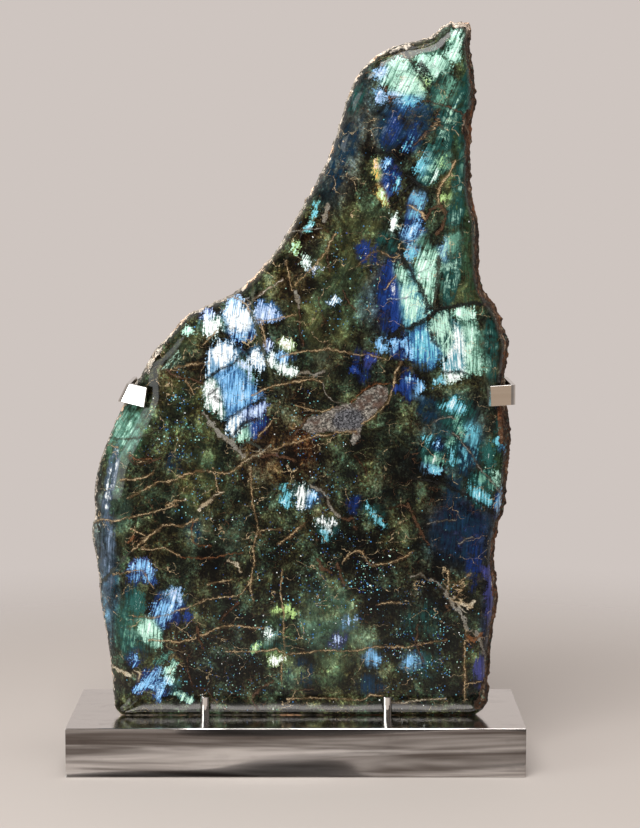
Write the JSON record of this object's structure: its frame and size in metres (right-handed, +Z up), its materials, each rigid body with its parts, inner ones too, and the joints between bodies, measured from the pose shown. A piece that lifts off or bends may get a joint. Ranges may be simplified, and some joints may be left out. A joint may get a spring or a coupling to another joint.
{
  "type": "labradorite slab on stand",
  "caption": "Tall polished labradorite slab with a broken rim, held upright on a polished steel block by front pins and bent bar brackets.",
  "frame": {"origin": "middle of the steel base's underside", "axes": "+Z up, +X to the right of someone who looks at the polished face, +Y from the polished face to the broken back"},
  "size_m": [0.4, 0.16, 0.6558],
  "materials": {
    "labradorite": "polished",
    "polished_steel": "polished"
  },
  "bodies": {
    "root": {"labradorite_stone": "labradorite", "steel_base": "polished_steel", "left_pin": "polished_steel", "right_pin": "polished_steel", "left_bracket": "polished_steel", "right_bracket": "polished_steel"}
  },
  "joints": []
}
